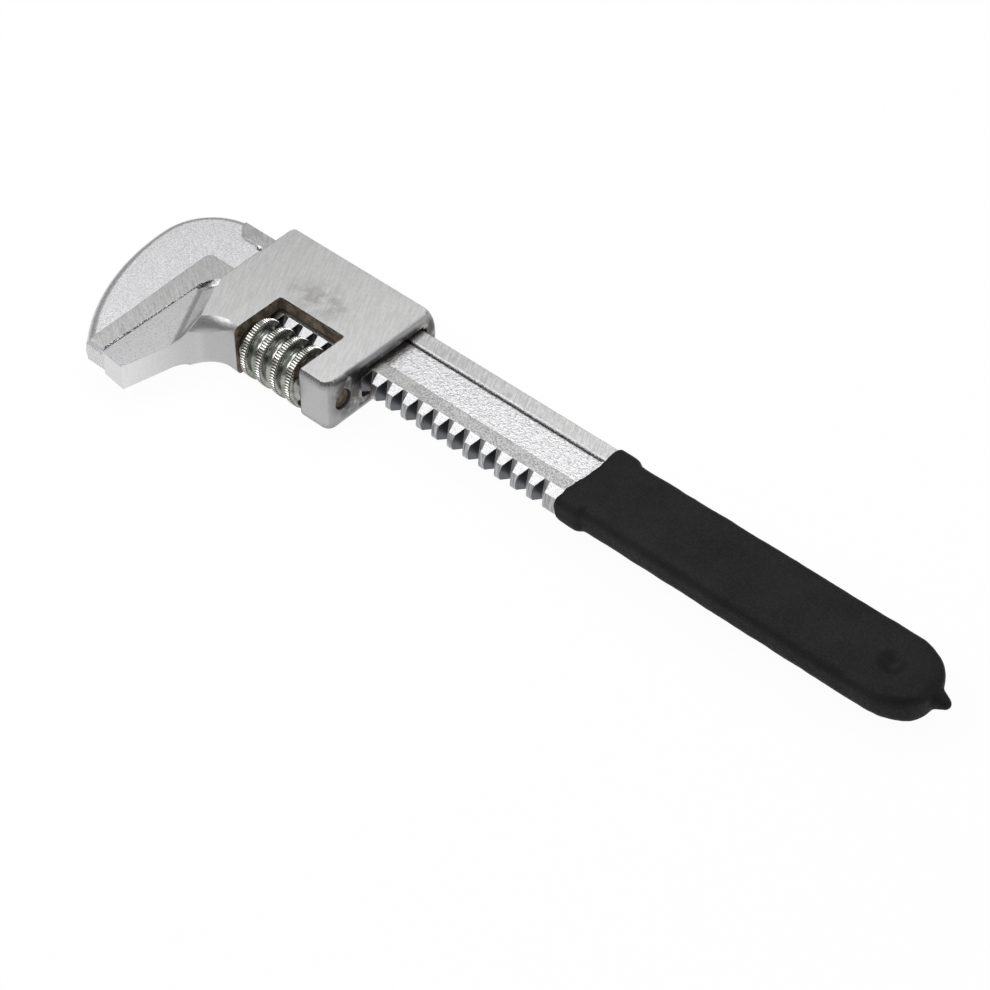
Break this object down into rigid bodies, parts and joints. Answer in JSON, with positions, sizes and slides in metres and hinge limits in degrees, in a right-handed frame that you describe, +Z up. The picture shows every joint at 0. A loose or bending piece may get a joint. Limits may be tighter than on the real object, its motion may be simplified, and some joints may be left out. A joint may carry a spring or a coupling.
{
  "type": "adjustable wrench",
  "caption": "Adjustable wrench: flat rack bar with a fixed hook jaw, a sliding jaw on a box sleeve, a knurled worm on a pin that drives it, and a dipped grip.",
  "frame": {"origin": "on the surface that the tool lies on, under the middle of its outline seen from above", "axes": "+X along the bar from the jaws to the handle's end, +Y across the bar towards its plain back, +Z up out of the flat faces"},
  "size_m": [0.2894, 0.0764, 0.0184],
  "materials": {
    "plated_bar": "plated over a rough forging, with ground edges",
    "ground_steel": "ground flat faces, plated forged edges",
    "plated_worm": "turned and knurled, plated",
    "pin_steel": "bare, slightly rusty",
    "dipped_grip": "matte dipped vinyl"
  },
  "bodies": {
    "bar": {"bar_and_fixed_jaw": "plated_bar", "handle_grip": "dipped_grip"},
    "jaw": {"sliding_jaw": "ground_steel", "worm_pin": "pin_steel"},
    "worm": {"adjusting_worm": "plated_worm"}
  },
  "joints": [
    {"name": "jaw_slide", "type": "slide", "parent": "bar", "child": "jaw", "axis": [1, 0, 0], "range_m": [0, 0.07]},
    {"name": "worm_spin", "type": "hinge", "parent": "jaw", "child": "worm", "pos_m": [-0.0774, -0.0019, 0.0092], "axis": [1, 0, 0], "continuous": true}
  ],
  "couplings": [
    {"joint": "worm_spin", "follows": "jaw_slide", "rad_per_m": 1047.2}
  ]
}
